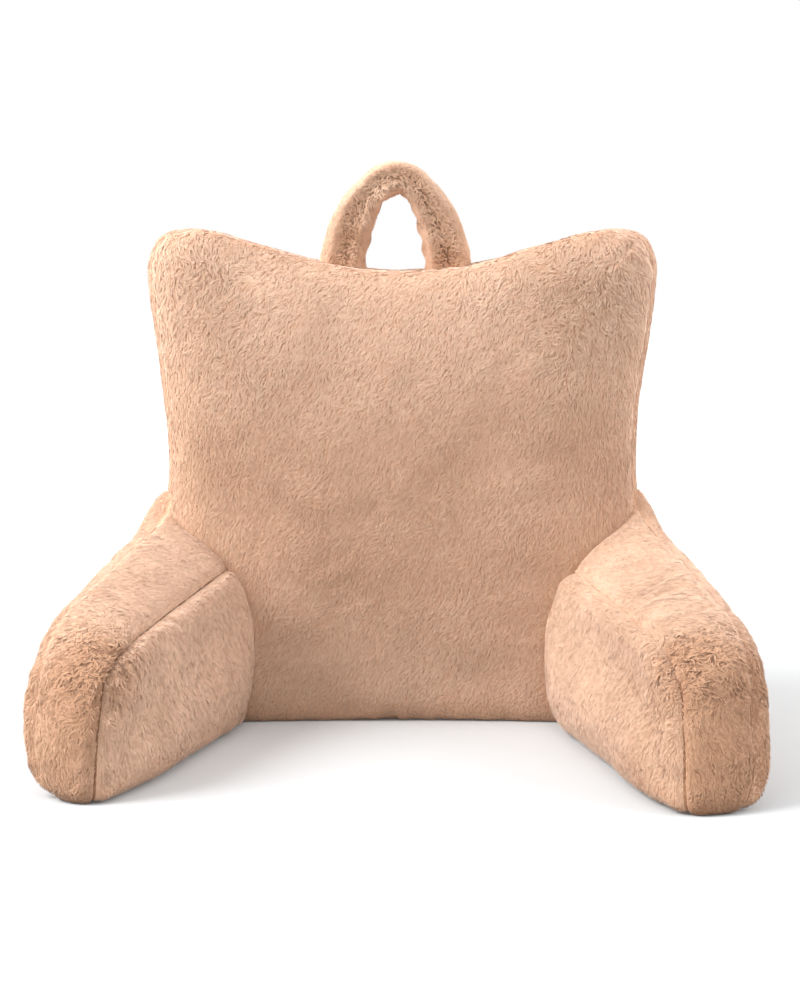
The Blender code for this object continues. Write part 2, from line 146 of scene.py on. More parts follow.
# An arm: nose_x is the middle of its nose and spread how far its foot comes forward there; folds are the reach and
# depth of folds across it; lost is the reach from which its inner seam shows, or None; nose is the tangled spot.
Arm = namedtuple("Arm", "side rows inner outer nose_x spread folds lost nose tones seed")
RIGHT = Arm(
    side=1, rows=RIGHT_ROWS,
    inner=Panel(0.190, 0.045, 0.300, 0.068, 0.014, 0.012), outer=Panel(0.270, 0.055, 0.290, 0.076, 0.022, 0.017),
    nose_x=0.266, spread=0.024, folds=((0.160, 0.0022), (0.193, 0.0026), (0.228, 0.0016)), lost=0.255,
    nose=(0.252, -0.338, 0.122), tones=Tones(0.66, 0.12, 0.62, 0.75, 0.62, 0.14), seed=61,
)
LEFT = Arm(
    side=-1, rows=LEFT_ROWS,
    inner=Panel(0.200, 0.045, 0.285, 0.068, 0.014, 0.012), outer=Panel(0.275, 0.055, 0.265, 0.076, 0.028, 0.013),
    nose_x=0.285, spread=0.012, folds=(), lost=None,
    nose=(-0.266, -0.335, 0.113), tones=Tones(0.64, 0.22, 0.42, 0.66, 0.44, 0.0), seed=81,
)

# The carry loop: x and z of the middle of its tube, from one foot to the top, and the tube's half widths.
LOOP_LINE = (
    (0.0568, 0.442), (0.0535, 0.474), (0.0450, 0.506), (0.0368, 0.524), (0.0260, 0.5390), (0.0132, 0.5518),
    (0.0000, 0.5556),
)
LOOP_PLACE = (-0.0072, 0.058, 0)
LOOP_WIDE, LOOP_WIDE_TOP, LOOP_DEEP = 0.0232, 0.0145, 0.0150
LOOP_STEPS, LOOP_SIDES = 16, 40
LOOP_VALLEY = 0.0042  # depth of the fold down the middle
LOOP_GATHER = 0.0012  # how far its inner side is pulled in
# Bumps of its inner side between the gathers: start and end along it, and how far they stand out.
LOOP_BUMPS = (
    (0.00, 0.26, 0.0012), (0.26, 0.36, 0.0012), (0.36, 0.43, 0.0006), (0.43, 0.655, 0.0046), (0.655, 0.74, 0.0012),
    (0.74, 0.90, 0.0014), (0.90, 1.00, 0.0008),
)

PILE = 0.0015  # how far the tips stand over the cloth
PINCH = 0.0030  # how far from a seam the pile is still held down by the stitches
OVERLAP = 0.0013  # how far a lock may reach past a seam
FLOOR_GAP = 0.0007  # how high the pile stays over the floor
STRAIGHT, CURVED = 0.00075, 0.0010  # widths of a straight hair and of a curved lock
STRAIGHT_CLUMP, CURVED_CLUMP = 7, 6  # how many of them lie together

# A grid of points of a plush panel. seam is the way to the nearest seam, and away the direction from it.
Skin = namedtuple("Skin", "points normals seam away closed")


# ------ lines and surfaces
def norm(vectors):
    return np.linalg.norm(vectors, axis=-1, keepdims=True)


def unit(vectors):
    return vectors / np.maximum(norm(vectors), 1e-12)


def dot(a, b):
    return (a * b).sum(axis=-1, keepdims=True)


def bell(distance, width):
    """1 at no distance, and smoothly down to 0 well past width."""
    return np.exp(-((distance / width) ** 2))


def slope(value, start, width):
    """0 up to start, 1 from width past it on, and even between."""
    return np.clip((value - start) / width, 0, 1)


def run_of(line, axis=0):
    """The way from the point before to the point after each one, round a closed line."""
    return np.roll(line, -1, axis) - np.roll(line, 1, axis)


def curve_through(knots, steps, closed):
    """Points of a smooth centripetal curve through the knots, steps to each span."""
    knots = np.asarray(knots, float)
    count = len(knots)
    span = np.arange(count if closed else count - 1)
    spans = [(span + k) % count if closed else np.clip(span + k, 0, count - 1) for k in (-1, 0, 1, 2)]
    before, start, end, after = (knots[numbers] for numbers in spans)
    gaps = ((before, start), (start, end), (end, after))
    first, middle, last = (np.maximum(norm(b - a), 1e-6) ** 0.5 for a, b in gaps)
    slope_start = ((start - before) / first - (end - before) / (first + middle)) * middle + (end - start)
    slope_end = ((after - end) / last - (after - start) / (middle + last)) * middle + (end - start)
    t = (np.arange(steps) / steps)[:, None, None]
    found = (
        start * (2 * t**3 - 3 * t**2 + 1)
        + slope_start * (t**3 - 2 * t**2 + t)
        + end * (3 * t**2 - 2 * t**3)
        + slope_end * (t**3 - t**2)
    )
    found = found.transpose(1, 0, 2).reshape(-1, 3)
    return found if closed else np.vstack([found, knots[-1:]])


def spaced(points, count):
    """count points round a closed line, starting at its first point, closer together where it bends."""
    before, after = points - np.roll(points, 1, axis=0), np.roll(points, -1, axis=0) - points
    turn = np.arccos(np.clip(dot(unit(before), unit(after))[:, 0], -1, 1))
    along = np.concatenate([[0], np.cumsum(np.linalg.norm(after, axis=1) + BEND_WEIGHT * turn)])
    ring = np.vstack([points, points[:1]])
    want = np.arange(count) * along[-1] / count
    return np.stack([np.interp(want, along, ring[:, axis]) for axis in range(3)], axis=1)


def seam_y(z):
    return z * math.tan(RECLINE)


def rear_y(z):
    return BACK_DEPTH + REAR_RECLINE * seam_y(z)


def over_floor(points, height=0.0):
    points = np.array(points)
    points[..., 2] = np.maximum(points[..., 2], height)
    return points


def lip(distance, held=1.0):
    """How far the cloth stands out beside a seam, which is held down where held is 1 and lost in the pile at 0."""
    return LIP * (1 - np.exp(-distance / (LIP_WIDTH * (3.5 - 2.5 * held))))


def dome(fullness):
    return np.sqrt((1 - np.exp(-FILL * fullness)) / (1 - math.exp(-FILL)))


def share_along(near, far, points):
    way = far - near
    if np.linalg.norm(way) < 1e-6:
        return np.zeros((len(points), 1))
    return np.clip((points - near) @ way / (way @ way), 0, 1)[..., None]


def stretched(spots, edge, push):
    """For spots of a face: how far along push the cloth would lie stretched flat, and the way to the edges."""
    after = np.roll(edge, -1, axis=0)
    samples = np.vstack([edge + (after - edge) * t for t in (0.0, 0.5)])
    weights = np.tile(np.linalg.norm(after - edge, axis=1), 2)
    way = samples[None] - spots[:, None]
    off = way @ push
    pull = weights / np.maximum((way**2).sum(axis=2) - off**2, 1e-9) ** 2
    return ((pull * off).sum(axis=1) / pull.sum(axis=1))[:, None], (pull.sum(axis=1) ** (-1 / 3))[:, None]


def drift(points, size, seed):
    """Smooth noise at points, with swells of about that size in metres."""
    rng = np.random.default_rng(seed)
    ways = unit(rng.normal(size=(WAVES, 3))) * (2 * math.pi / size) * rng.uniform(0.55, 1.5, (WAVES, 1))
    return np.sin(points @ ways.T + rng.uniform(0, 2 * math.pi, WAVES)).sum(axis=-1) * math.sqrt(2 / WAVES)


def grid_normals(points, closed, towards):
    """Normals of a grid of points, on its side that looks towards that way."""
    rows = np.gradient(points, axis=0)
    cols = run_of(points, 1) if closed else np.gradient(points, axis=1)
    normals = unit(np.cross(cols, rows))
    return -normals if (normals * towards).sum() < 0 else normals


def relief(points, seam, seed):
    """How far the stuffing and the pull of the stitches lift the cloth."""
    flat, seam = points.reshape(-1, 3), seam.reshape(-1)
    lumps = sum(drift(flat, size, seed + k) * high for k, (size, high) in enumerate(LUMPS))
    pucker = np.abs(drift(flat, PUCKER, seed + len(LUMPS))) ** 1.5
    near = np.exp(-seam / 0.012) * (1 - np.exp(-seam / 0.004))
    fade = 1 - np.exp(-seam / 0.03)
    return (lumps * fade - PUCKER_DEPTH * pucker * near).reshape(points.shape[:2] + (1,))


def face_skin(edge, out, spine, push, crowns, seed, shoulder=SHOULDER, held=1.0, creases=()):
    """A stuffed face, from beside its seam inwards to its spine. shoulder is how far it spreads past its seam."""
    near, far = spine
    _, full = stretched(((near + far) / 2)[None], edge, push)
    foot = near + (far - near) * share_along(near, far, edge)
    rings, seams, aways = [], [], []
    for share in FACE_SHARES:
        spots = foot + (edge - foot) * (1 - share)
        level, fullness = stretched(spots, edge, push)
        seam = norm(edge - spots)
        lips = lip(seam, held)
        along = share_along(near, far, spots)
        crown = crowns[0] + (crowns[1] - crowns[0]) * along * along * (3 - 2 * along)
        lift = level + lips + crown * dome(fullness / full)
        rings.append(spots + out * shoulder * (lips / LIP) * (1 - share) ** 2 + push * lift)
        seams.append(seam + (1 - held) * UNHELD)
        aways.append(unit(spots - edge))
    points, seam = np.stack(rings), np.stack(seams)
    normals = grid_normals(points, True, push)
    points = points + normals * relief(points, seam, seed)
    width, rim_width, rim = CREASE
    for start, end, deep in creases:
        start, end = np.array(start), np.array(end)
        flat = points[..., ::2]
        along = share_along(start, end, flat)
        off = norm(flat - start - (end - start) * along)
        points = points - normals * deep * (bell(off, width) - rim * bell(off, rim_width)) * (1 - 0.6 * along)
    normals = grid_normals(points, True, push)
    return Skin(points, normals, seam, np.stack(aways), True)


def strip_surface(front, rear, out, shares, rise, sink, held=1.0):
    """Rows of points between two seams. rise is the swell in the middle and sink the depth under the cloth."""
    across = rear - front
    width = norm(across)
    rows, seams = [], []
    for share in shares:
        swell = 1 - (2 * share - 1) ** 2
        grip = held if share < 0.5 else 1.0
        way = min(share, 1 - share) * width
        rows.append(front + across * share + out * (lip(way, grip) + rise * swell - sink))
        seams.append(way + (1 - grip) * UNHELD)
    return np.stack(rows), np.stack(seams)


def strip_skin(front, rear, out, rise, seed, sink=0.0, held=1.0, folds=()):
    points, seam = strip_surface(front, rear, out, STRIP_SHARES, rise, sink, held)
    across = unit(rear - front)
    away = np.stack([across if share < 0.5 else -across for share in STRIP_SHARES])
    normals = grid_normals(points, False, out[None])
    points = points + normals * relief(points, seam, seed) * 0.8
    width, rim_width, rim = FOLD
    for reach, deep in folds:
        waver = 0.010 * drift(points.reshape(-1, 3), 0.09, seed + 3).reshape(points.shape[:2])
        bend = reach + waver + points[..., 1]
        fold = bell(bend, width) - rim * bell(bend - FOLD_RIM, rim_width)
        points = points - normals * deep * fold[..., None] * (1 - bell(seam, 0.012))
    points = over_floor(points, FLOOR_LIFT / 2)
    return Skin(points, grid_normals(points, False, out[None]), seam, away, False)


def grooved(seam, out, push, held=1.0):
    """A seam pulled in by its stitches, between the lips of the cloth on both sides."""
    depth = GROOVE * np.clip(seam[:, 2:] / 0.03, 0.15, 1)
    return over_floor(seam - unit(out + push) * depth * held)


# ------ meshes
def placed(name, data):
    """A new object of the scene, with that mesh, light or camera."""
    item = bpy.data.objects.new(name, data)
    bpy.context.scene.collection.objects.link(item)
    return item


def new_mesh(name, points, faces):
    mesh = bpy.data.meshes.new(name)
    mesh.from_pydata([tuple(p) for p in points], [], faces)
    mesh.validate()
    mesh.shade_smooth()
    return placed(name, mesh)


def loft(node, rings, thin=False, seam_shaded=None):
    """A closed form through rings of points, in the place of that node. Faces marked as lying in a seam get painted
    seam shade.
    """
    count = rings.shape[1]
    faces = []
    for row in range(len(rings) - 1):
        a, b = row * count, (row + 1) * count
        faces += [(a + k, a + (k + 1) % count, b + (k + 1) % count, b + k) for k in range(count)]
    last = (len(rings) - 1) * count
    for start, turn in ((0, -1), (last, 1)):
        if thin:
            pairs = [(k, k + 1, count - 2 - k, count - 1 - k) for k in range(count // 2 - 1)]
            faces += [tuple(start + n for n in pair)[::turn] for pair in pairs]
        else:
            faces.append(tuple(range(start, start + count))[::turn])
    piece = new_mesh(f"{node}_plush", (rings + SHIFT).reshape(-1, 3), faces)
    piece.data.materials.append(CLOTH_STUFF)
    if seam_shaded is not None:
        piece.data.materials.append(SEAM_SHADE_STUFF)
        for number in np.nonzero(seam_shaded.reshape(-1))[0]:
            piece.data.polygons[int(number)].material_index = 1
    form = bmesh.new()
    form.from_mesh(piece.data)
    bmesh.ops.triangulate(form, faces=[f for f in form.faces if len(f.verts) > 4], ngon_method="BEAUTY")
    if form.calc_volume(signed=True) < 0:
        bmesh.ops.reverse_faces(form, faces=form.faces)
    form.to_mesh(piece.data)
    form.free()
    piece.data.shade_smooth()
    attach(piece, "root")
    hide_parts(node)
    return piece


def sewn_strip(node, skin, first_held=True, last_held=True, tree=None):
    """A strip of plush: its skin, and a cloth's thickness inside it.

    first_held and last_held tell where its edges show in their seams with painted shade, and tree is a form that it is
    sewn to."""
    inside = skin.points - skin.normals * CLOTH
    sections = over_floor(np.concatenate([skin.points, inside[::-1]]).transpose(1, 0, 2), 0.0005)
    seam_shaded = np.zeros((len(sections) - 1, sections.shape[1]), bool)
    seam_shaded[:, len(STRIP_SHARES) - 1] = last_held
    seam_shaded[:, -1] = first_held
    if tree:
        seam_shaded |= sewn_on(sections, tree)
    piece = loft(node, sections, True, seam_shaded)


def groove_rows(rings, first_held, last_held):
    """The faces on both sides of the two seams between a form's faces and the bed of its strip, which get painted
    shade.
    """
    seam_shaded = np.zeros((len(rings) - 1, rings.shape[1]), bool)
    first, last = len(FACE_SHARES) - 1, len(rings) - len(FACE_SHARES) - 2
    seam_shaded[first : first + 2] = first_held
    seam_shaded[last : last + 2] = last_held
    return seam_shaded


def tree_of(piece):
    mesh = piece.data
    return BVHTree.FromPolygons([v.co for v in mesh.vertices], [tuple(p.vertices) for p in mesh.polygons])


def outside(points, tree):
    """How far points lie outside a closed form, below 0 inside, and the way to them from it."""
    far, ways = [], []
    for p in points.reshape(-1, 3) + SHIFT:
        spot, normal, _, _ = tree.find_nearest(Vector(p))
        way = Vector(p) - spot
        far.append(way.dot(normal))
        ways.append(way)
    return np.array(far).reshape(points.shape[:-1] + (1,)), unit(np.array(ways)).reshape(points.shape)


def sewn_on(rings, tree):
    """The faces between rings that lie along the line where an arm is sewn to the back, which get painted shade."""
    far = outside(rings, tree)[0][..., 0]
    far = (far[:-1] + far[1:]) / 2
    far = (far + np.roll(far, -1, axis=1)) / 2
    return (far > SEWN[0]) & (far < SEWN[1])


# ------ backrest and band
def back_seams():
    half = [(x, 0.0, z) for x, z in BACK_EDGE]
    knots = half + [(-x, y, z) for x, y, z in half[-2:0:-1]]
    outline = spaced(curve_through(knots, BACK_STEPS, True), BACK_POINTS)
    run = run_of(outline)
    out = unit(np.stack([run[:, 2], np.zeros(len(run)), -run[:, 0]], axis=1))
    x, z = outline[:, 0], outline[:, 2]
    bow = FOOT_BOW * (x / BACK_HALF_WIDTH) ** 2 * np.maximum(0, 1 - z / FOOT_BOW_TOP)
    lifted = np.maximum(z, FLOOR_LIFT)
    front = np.stack([x, seam_y(z) - bow, lifted], axis=1)
    rear = np.stack([x, rear_y(z), lifted], axis=1)
    return front, rear, out


def band_run(out):
    """The numbers of the seam's points that the band runs along, in order from the right foot over the top."""
    covered = out[:, 2] > UNDERSIDE
    count = len(covered)
    first = next(k for k in range(count) if covered[k])
    return np.array([k for k in range(first, first + count) if covered[k % count]]) % count


def top_middle(seam):
    """1 along the dip of the top between the corners, where the front panel stands up before the band, else 0."""
    return slope(seam[:, 2:], 0.42, 0.03) * slope(-np.abs(seam[:, :1]), -0.246, 0.04)


def sagged(face, forward):
    """The front, with its foot hanging forward and down between the arms."""
    x, z = face.points[..., :1], face.points[..., 2:]
    shown = (1 - np.exp(-face.seam / 0.0012)) * slope(-np.abs(x), -0.235, 0.06)
    forth, drop = (-far * bell(z, high) for far, high in FOOT_SAG)
    points = over_floor(face.points + np.concatenate([0 * z, forth, drop], axis=-1) * shown, 0.0008)
    return face._replace(points=points, normals=grid_normals(points, True, forward))


def make_back():
    front, rear, out = back_seams()
    forward = np.array((0, -math.cos(RECLINE), math.sin(RECLINE)))
    backward = np.array((0.0, 1.0, 0.0))
    front_spine, rear_spine = ([np.array((0, y(BACK_MIDDLE_Z), BACK_MIDDLE_Z))] * 2 for y in (seam_y, rear_y))
    crest = top_middle(front)
    shoulder = SHOULDER + CREST_SHOULDER * crest + FOOT_SHOULDER * (out[:, 2:] < UNDERSIDE)
    face = face_skin(front, out, front_spine, forward, FRONT_CROWNS, 11, shoulder, creases=FRONT_CREASES)
    face = sagged(face, forward)
    rear_face = face_skin(rear, out, rear_spine, backward, REAR_CROWNS, 21)
    run = band_run(out)
    beds = np.zeros((len(front), 1))
    beds[run] = RECESS
    beds += CREST_SINK * crest
    bed = over_floor(strip_surface(front, rear, out, BAND_BED_SHARES, BAND_SWELL, beds)[0])
    seams = grooved(front, out, forward), grooved(rear, out, backward)
    rings = np.stack([*face.points[::-1], seams[0], *bed, seams[1], *rear_face.points])
    body = loft("backrest", rings, seam_shaded=groove_rows(rings, True, True))

    run = run[1:-1]
    skin = strip_skin(front[run], rear[run], out[run], BAND_SWELL, 31, CREST_SINK * crest[run])
    sewn_strip("boxing_band", skin)
    return tree_of(body), face, rear_face, skin


# ------ arms
def arm_seams(rows, side):
    inner = curve_through([(x, -reach, z) for reach, x, z, _, _, _ in rows], ARM_STEPS, True)
    outer = curve_through([(x, -reach, z) for _, _, _, reach, x, z in rows], ARM_STEPS, True)
    for seam in (inner, outer):
        seam[:, 2] = np.maximum(seam[:, 2], FLOOR_LIFT)
        seam[:, 1] += seam_y(seam[:, 2])
    out = unit(np.cross(run_of(inner + outer), outer - inner))
    flip = np.array((side, 1.0, 1.0))
    return inner * flip, outer * flip, out * flip


def footed(points, arm):
    """An arm's nose where it meets the floor: it spreads forward, and rounds in to the floor on all sides."""
    points = over_floor(points)
    x, y, z = np.moveaxis(points, -1, 0)
    nose = slope(-y, 0.22, 0.12)
    low = np.clip(1 - z / 0.09, 0, 1) ** 1.5
    roll = TUCK * (1 - np.sqrt(1 - np.clip(1 - z / TUCK, 0, 1) ** 2)) * nose
    beyond = np.clip((x * arm.side - arm.nose_x) / 0.030, -1, 1)
    shrink = 0.010 * np.clip(1 - z / 0.040, 0, 1) ** 2 * nose * np.maximum(beyond, 0)
    points[..., 0] -= arm.side * (shrink + 0.7 * roll * beyond)
    points[..., 1] += roll * (1 - 0.4 * np.abs(beyond)) - arm.spread * low * nose
    return points


def joined(face):
    """How far the inner side of an arm bulges where it meets the back, and lies back under that, above and below 0."""
    reach, z = -face.points[..., 1:2], face.points[..., 2:]
    bulge = 0.0085 * bell(z - 0.108, 0.030) - 0.0070 * np.clip(1 - z / 0.040, 0, 1)
    return bulge * bell(reach - 0.02, 0.060) * (1 - bell(face.seam, 0.012))


def drawn_in(skin, tree, push=None):
    """A panel of an arm, drawn in along the line where it is sewn to the back. Its edge lies flatter there."""
    far = np.maximum(outside(skin.points, tree)[0], 0)
    points = skin.points - skin.normals * DRAWN * bell(far, 0.005)
    if push is not None:
        flatter = bell(far, 0.022) * bell(skin.seam, 0.016) * np.clip(points[..., 2:] / 0.1, 0, 1)
        points = points - push * 0.85 * lip(skin.seam) * flatter
    return skin._replace(points=points)


def make_arm(name, arm, back_tree):
    inner, outer, out = arm_seams(arm.rows, arm.side)
    over = np.isin(np.arange(len(inner)) // ARM_STEPS, TOP_ROWS)
    top = np.nonzero(over)[0][: 1 - ARM_STEPS]
    splay = unit(outer[0] - inner[0])
    held = np.ones((len(inner), 1))
    if arm.lost is not None:
        held = np.clip((seam_y(inner[:, 2:]) - inner[:, 1:2] - arm.lost) / 0.05, 0.10, 1)
    faces, seed = [], arm.seed
    for panel, seam, push, grip in ((arm.inner, inner, -splay, held), (arm.outer, outer, splay, np.ones_like(held))):
        reaches = panel.near_reach, panel.far_reach
        spine = [np.array((arm.side * panel.x, seam_y(panel.z) - reach, panel.z)) for reach in reaches]
        face = face_skin(seam, out, spine, push, (panel.near_crown, panel.far_crown), seed, held=grip)
        if panel is arm.inner:
            face = face._replace(points=face.points + push * joined(face))
        face = face._replace(points=footed(face.points, arm))
        face = drawn_in(face, back_tree, push if panel is arm.inner else None)
        faces.append(face._replace(normals=grid_normals(face.points, True, face.normals)))
        seed += 5
    beds = np.zeros((len(inner), 1))
    beds[top] = RECESS
    swell = np.where(over, STRIP_SWELL, 0.0)[:, None]
    bed = strip_surface(inner, outer, out, ARM_BED_SHARES, swell, beds)[0]
    near = np.maximum(outside(inner, back_tree)[0], 0)
    held_in = held * (1 - 0.85 * bell(near, 0.022))
    inner_shown, outer_shown = held[:, 0] > SHOWN_SEAM, outside(outer, back_tree)[0][:, 0] > HIDDEN_NEAR_BACK
    middle = [grooved(inner, out, -splay, held_in), *bed, grooved(outer, out, splay)]
    rings = [*faces[0].points[::-1], *(footed(ring, arm) for ring in middle), *faces[1].points]
    rings = over_floor(np.stack(rings))
    seam_shaded = groove_rows(rings, inner_shown, outer_shown) | sewn_on(rings, back_tree)
    body = loft(name, rings, seam_shaded=seam_shaded)

    run = top[1:-1]
    skin = strip_skin(inner[run], outer[run], out[run], STRIP_SWELL, seed, held=held[run], folds=arm.folds)
    skin = drawn_in(skin._replace(points=footed(skin.points, arm)), back_tree)
    skin = skin._replace(normals=grid_normals(skin.points, False, skin.normals))
    sewn_strip(f"{name}_strip", skin, inner_shown[run][:-1], outer_shown[run][:-1], back_tree)
    return tree_of(body), faces[0], faces[1], skin


# ------ carry loop
def make_loop():
    """The carry loop: smooth along its outer rim, folded in down the middle and gathered on the inside."""
    half = [(x, 0.0, z) for x, z in LOOP_LINE]
    line = curve_through(half + [(-x, y, z) for x, y, z in half[-2::-1]], LOOP_STEPS, False)
    line = line + LOOP_PLACE
    run = unit(np.gradient(line, axis=0))
    out = np.stack([run[:, 2], np.zeros(len(run)), -run[:, 0]], axis=1)
    share = np.linspace(0, 1, len(line))[:, None]
    turn = (np.arange(LOOP_SIDES) / LOOP_SIDES * 2 * math.pi)[None]
    inward = np.maximum(0, -np.cos(turn))
    wide = LOOP_WIDE + (LOOP_WIDE_TOP - LOOP_WIDE) * np.sin(math.pi * share) ** 2
    bumps = np.zeros_like(share)
    for start, end, stand in LOOP_BUMPS:
        bumps += stand * np.maximum(0, np.sin(math.pi * slope(share, start, end - start))) ** 0.7
    bumps = 0.5 * bumps + 0.25 * (np.roll(bumps, 1, axis=0) + np.roll(bumps, -1, axis=0))
    valley = LOOP_VALLEY * bell(np.abs(np.sin(turn)) - 1, 0.09)
    reach = wide + (bumps - LOOP_GATHER) * inward**1.5 - valley
    points = line[:, None] + out[:, None] * (reach * np.cos(turn))[..., None]
    points[..., 1] += (LOOP_DEEP - valley) * np.sin(turn)
    towards = points - line[:, None]
    normals = grid_normals(points, True, towards)
    lumps = 0.0008 * drift(points.reshape(-1, 3), 0.02, 41).reshape(points.shape[:2] + (1,))
    points = points + normals * lumps * (0.15 + 0.85 * inward[..., None])
    normals = grid_normals(points, True, towards)
    loft("carry_loop", points)
    fold = np.abs(np.sin(turn))[..., None] * np.ones(points.shape[:2] + (1,))
    around = -out[:, None] * np.sin(turn)[..., None] + np.array((0.0, 1.0, 0.0)) * np.cos(turn)[..., None]
    return Skin(points, normals, fold, around * np.sign(np.cos(turn) + 1e-6)[..., None], True)


# ------ how the pile lies
# flow is the way it leans; mess how tangled it is and tone how light, from 0 to 1; length is along the cloth and
# height over it. A comb tells this at points p with normals n of a panel.
Comb = namedtuple("Comb", "flow mess length height tone")


def near_to(p, spot, reach):
    """From 1 at a spot to 0 well away from it."""
    return bell(norm(p - spot), reach)


def direction(x, y, z):
    return unit(np.array((x, y, z), float))[None]


def swells(p, size, seed):
    return drift(p, size, seed)[:, None]


def comb_front(p, n, seam, away):
    x, z = p[:, :1], p[:, 2:]
    left, right = slope(-x, 0.12, 0.12), slope(x, 0.15, 0.09)
    flow = direction(-0.55, 0, -0.83) * (1 - left) * (1 - right)
    flow = flow + direction(-0.12, 0, -1) * left + direction(0.42, 0, -0.9) * right
    corner = near_to(p, (-0.20, 0.02, 0.43), 0.06) + near_to(p, (0.175, 0.02, 0.43), 0.07)
    mess = np.clip(0.09 + 0.06 * swells(p, 0.09, 51) + 0.6 * corner, 0, 0.9)
    top, foot = slope(z, 0.27, 0.14), slope(-z, -0.16, 0.12)
    # Lighter towards the top, at the foot and on both sides: painted light. Darker in the tangled corners.
    tone = 0.60 + 0.38 * top + 0.24 * foot + 0.15 * right + 0.10 * left - 0.44 * np.minimum(corner, 1)
    tone = tone + 0.04 * swells(p, 0.16, 52)
    return Comb(flow, mess, 0.0062 + 0.0028 * mess, PILE * (0.95 + 1.2 * mess), tone)


def comb_rear(p, n, seam, away):
    mess = np.clip(0.08 + 0.08 * swells(p, 0.09, 53), 0, 0.9)
    tone = 0.66 + 0.05 * swells(p, 0.16, 54)
    return Comb(direction(0.25, 0, -1), mess, 0.0075, PILE * (0.95 + 0.25 * mess), tone)


def comb_band(p, n, seam, away):
    mess = np.clip(0.03 + 0.04 * swells(p, 0.08, 55), 0, 0.9)
    # Lighter than the other panels: painted light on the band.
    tone = 0.86 + 0.05 * swells(p, 0.12, 56)
    return Comb(direction(0.0, 0.12, -1), mess, 0.0068, PILE * (0.9 + 0.2 * mess), tone)


def comb_arm(arm):
    """Pile of an arm's sides: towards the nose and down, tangled round the nose."""
    side, tones = arm.side, arm.tones

    def comb(p, n, seam, away):
        front = slope(-p[:, 1:2], 0.16, 0.20)
        flow = direction(0.1 * side, 0.45, -1) * (1 - front) + direction(0.10 * side, 0.1, -1) * front
        tangle = near_to(p, arm.nose, 0.050)
        flow = flow + away * tangle * (1 - bell(seam, 0.006))
        mess = np.clip(0.02 + 0.03 * swells(p, 0.07, 57) + 0.85 * tangle + 0.12 * front**2, 0, 1)
        inner = n[:, :1] * side < 0
        # Lighter on the inner side: painted light. Darker in the tangle and down the nose: painted shade.
        tone = tones.sides + tones.inner * inner - 0.45 * tangle - tones.nose * front * (1 - 0.4 * inner)
        tone = tone + 0.03 * swells(p, 0.12, 58)
        return Comb(flow, mess, 0.0062 + 0.0045 * mess, PILE * (0.88 + 1.57 * mess), tone)

    return comb


def comb_strip(arm):
    """Pile of an arm's strip: outwards and down, then down the nose."""
    side, tones = arm.side, arm.tones

    def comb(p, n, seam, away):
        front = slope(-p[:, 1:2], 0.20, 0.16)
        flow = direction(0.9 * side, -0.5, -0.3) * (1 - front) + direction(0.1 * side, -0.2, -1) * front
        tangle = near_to(p, arm.nose, 0.048)
        mess = np.clip(0.07 + 0.06 * swells(p, 0.06, 59) + 0.9 * tangle + 0.16 * front, 0, 1)
        low = slope(-p[:, 2:], -0.13, 0.08) * front
        # Darker in the tangle, down the nose and at its low end: painted shade.
        tone = tones.strip - 0.45 * tangle - tones.strip_nose * front + 0.03 * swells(p, 0.12, 60)
        tone = tone - tones.strip_low * low
        return Comb(flow, mess, 0.0064 + 0.0048 * mess, PILE * (0.95 + 1.5 * mess), tone)

    return comb


def comb_loop(p, n, fold, away):
    """Pile of the loop: out of its fold and down, tangled in the fold."""
    valley = slope(fold, 0.84, 0.15)
    flow = direction(0, 0, -1) * 0.55 + away * (0.55 + 0.4 * valley)
    mess = np.clip(0.03 + 0.90 * valley + 0.05 * swells(p, 0.05, 61), 0, 1)
    top = slope(p[:, 2:], 0.50, 0.06)
    # Lighter at the top: painted light. Darker down the fold: painted shade.
    tone = 0.64 + 0.16 * top - 0.38 * valley + 0.06 * swells(p, 0.03, 62)
    return Comb(flow, mess, 0.0055 + 0.0050 * mess, PILE * (0.95 + 1.9 * mess), tone)


# ------ pile
def sample(skin, extra, count, rng):
    """count spots spread evenly over a panel, fewer where extra is low, and what is known there."""
    cols = skin.points.shape[1]
    left = np.arange(cols if skin.closed else cols - 1)
    after = (left + 1) % cols

    def corners(a):
        return a[:-1][:, left], a[:-1][:, after], a[1:][:, left], a[1:][:, after]

    a, b, c, d = corners(skin.points)
    areas = 0.5 * np.linalg.norm(np.cross(d - a, c - b), axis=-1)
    total = np.cumsum((areas * (sum(corners(extra))[..., 0] / 4)).reshape(-1))
    want = (np.arange(count) + rng.uniform(0, 1, count)) / count * total[-1]
    cell = np.minimum(np.searchsorted(total, want), len(total) - 1)
    u, v = rng.uniform(0, 1, (2, count, 1))
    found = []
    for field in (skin.points, skin.normals, skin.seam, skin.away):
        a, b, c, d = (part.reshape(-1, part.shape[-1])[cell] for part in corners(field))
        found.append((a * (1 - u) + b * u) * (1 - v) + (c * (1 - u) + d * u) * v)
    return found[0], unit(found[1]), found[2], unit(found[3])


def nearest(points, centres):
    tree = KDTree(len(centres))
    for k, c in enumerate(centres):
        tree.insert(c, k)
    tree.balance()
    return np.array([tree.find(p)[1] for p in points])


